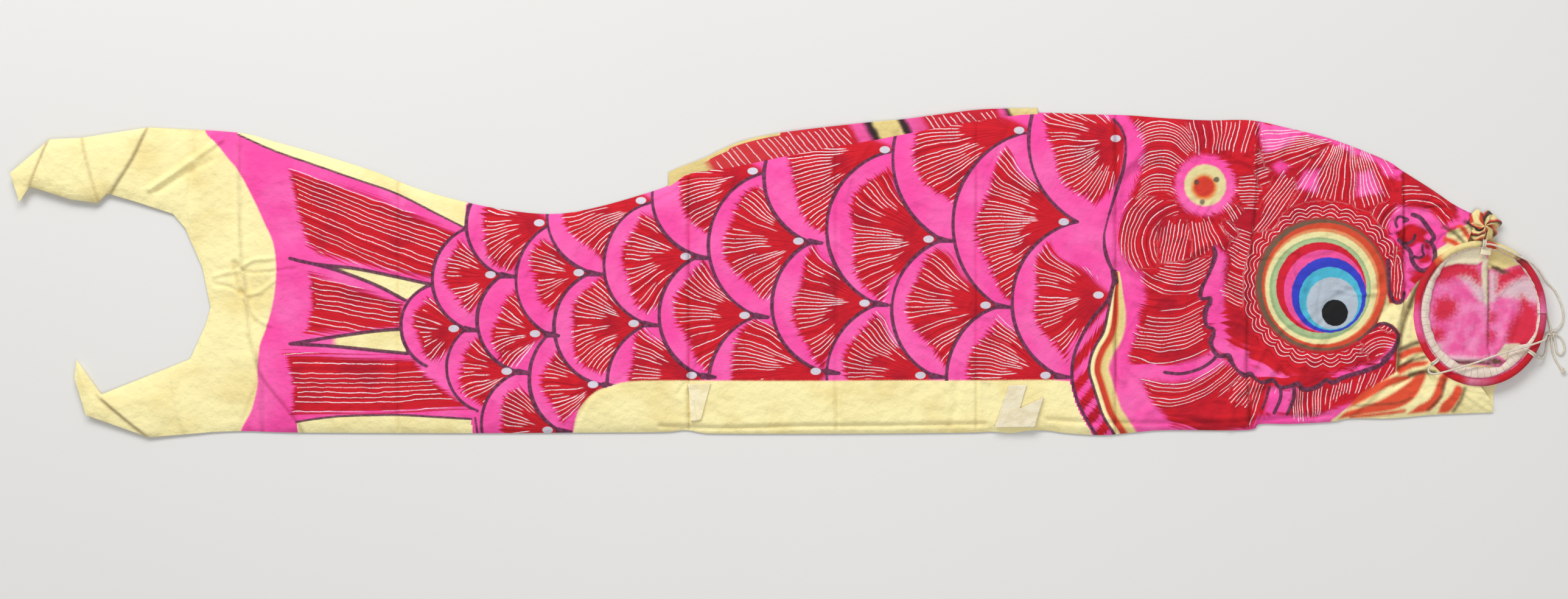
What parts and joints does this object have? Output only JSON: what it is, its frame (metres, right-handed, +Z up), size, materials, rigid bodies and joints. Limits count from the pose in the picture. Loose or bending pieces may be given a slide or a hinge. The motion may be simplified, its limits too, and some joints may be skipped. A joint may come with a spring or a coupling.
{
  "type": "carp streamer",
  "caption": "Cotton fish-shaped wind tube lying flat, with a forked tail, fins, a wire mouth hoop and a three-leg string bridle.",
  "frame": {"origin": "under the middle of the streamer's length and height, on the surface it lies on", "axes": "+X from the tail to the mouth, +Y towards the fish's back, +Z up out of the surface"},
  "size_m": [1.5305, 0.324, 0.0184],
  "materials": {
    "painted_cloth": "matte hand-painted cotton",
    "yellow_cloth": "matte dyed cotton",
    "belly_cloth": "matte dyed cotton",
    "lip_cloth": "matte hand-painted cotton",
    "casing_cloth": "matte dyed cotton",
    "cream_cloth": "unbleached cotton",
    "cotton_string": "twisted cotton",
    "galvanised_wire": "dull zinc",
    "brass_sleeve": "dull"
  },
  "bodies": {
    "front": {"near_side_front": "painted_cloth", "far_side_front": "painted_cloth", "back_seam_front": "belly_cloth", "belly_seam_front": "belly_cloth"},
    "rear": {"near_side_rear": "painted_cloth", "far_side_rear": "painted_cloth", "back_seam_rear": "belly_cloth", "belly_seam_rear": "belly_cloth"},
    "tail": {"near_side_tail": "yellow_cloth", "far_side_tail": "yellow_cloth"},
    "head": {"near_side_head": "painted_cloth", "far_side_head": "painted_cloth", "back_seam_head": "belly_cloth", "belly_seam_head": "belly_cloth"},
    "mouth": {"near_side_mouth": "lip_cloth", "far_side_mouth": "lip_cloth", "back_gather": "lip_cloth"},
    "hoop": {"hoop_wire": "galvanised_wire", "hoop_sleeve": "brass_sleeve", "hoop_casing": "casing_cloth", "hem_tape": "cream_cloth", "bridle_tie_top": "cotton_string", "bridle_tie_left": "cotton_string", "bridle_tie_right": "cotton_string", "bridle_leg_left": "cotton_string", "bridle_leg_top": "cotton_string", "bridle_leg_right": "cotton_string", "bridle_spare_end": "cotton_string", "tow_loop": "cotton_string", "tow_tail": "cotton_string", "bridle_knot": "cotton_string", "tow_end_knot": "cotton_string"},
    "dorsal_fin": {"dorsal_fin": "casing_cloth"},
    "pelvic_fin": {"pelvic_fin": "belly_cloth"},
    "pectoral_fin": {"pectoral_fin": "cream_cloth"}
  },
  "joints": [
    {"name": "rear_fold", "type": "hinge", "parent": "front", "child": "rear", "pos_m": [-0.2315, 0, 0.0075], "axis": [0, 1, 0], "range_deg": [0, 90]},
    {"name": "tail_fold", "type": "hinge", "parent": "rear", "child": "tail", "pos_m": [-0.5265, 0, 0.0075], "axis": [0, 1, 0], "range_deg": [0, 90]},
    {"name": "head_fold", "type": "hinge", "parent": "front", "child": "head", "pos_m": [0.3315, 0, 0.0075], "axis": [0, -1, 0], "range_deg": [0, 90]},
    {"name": "mouth_fold", "type": "hinge", "parent": "head", "child": "mouth", "pos_m": [0.6135, 0, 0.0075], "axis": [0, -1, 0], "range_deg": [0, 90]},
    {"name": "hoop_tilt", "type": "hinge", "parent": "mouth", "child": "hoop", "pos_m": [0.7555, -0.04, 0.0013], "axis": [0, 1, 0], "range_deg": [0, 60]},
    {"name": "dorsal_fin_flap", "type": "hinge", "parent": "front", "child": "dorsal_fin", "pos_m": [0.0735, 0.1284, 0.0035], "axis": [0.9854, 0.17, 0], "range_deg": [0, 70]},
    {"name": "pelvic_fin_flap", "type": "hinge", "parent": "front", "child": "pelvic_fin", "pos_m": [-0.078, -0.1097, 0.0082], "axis": [-1, 0, 0], "range_deg": [0, 90]},
    {"name": "pectoral_fin_flap", "type": "hinge", "parent": "front", "child": "pectoral_fin", "pos_m": [0.235, -0.1117, 0.0082], "axis": [-1, 0, 0], "range_deg": [0, 90]}
  ]
}
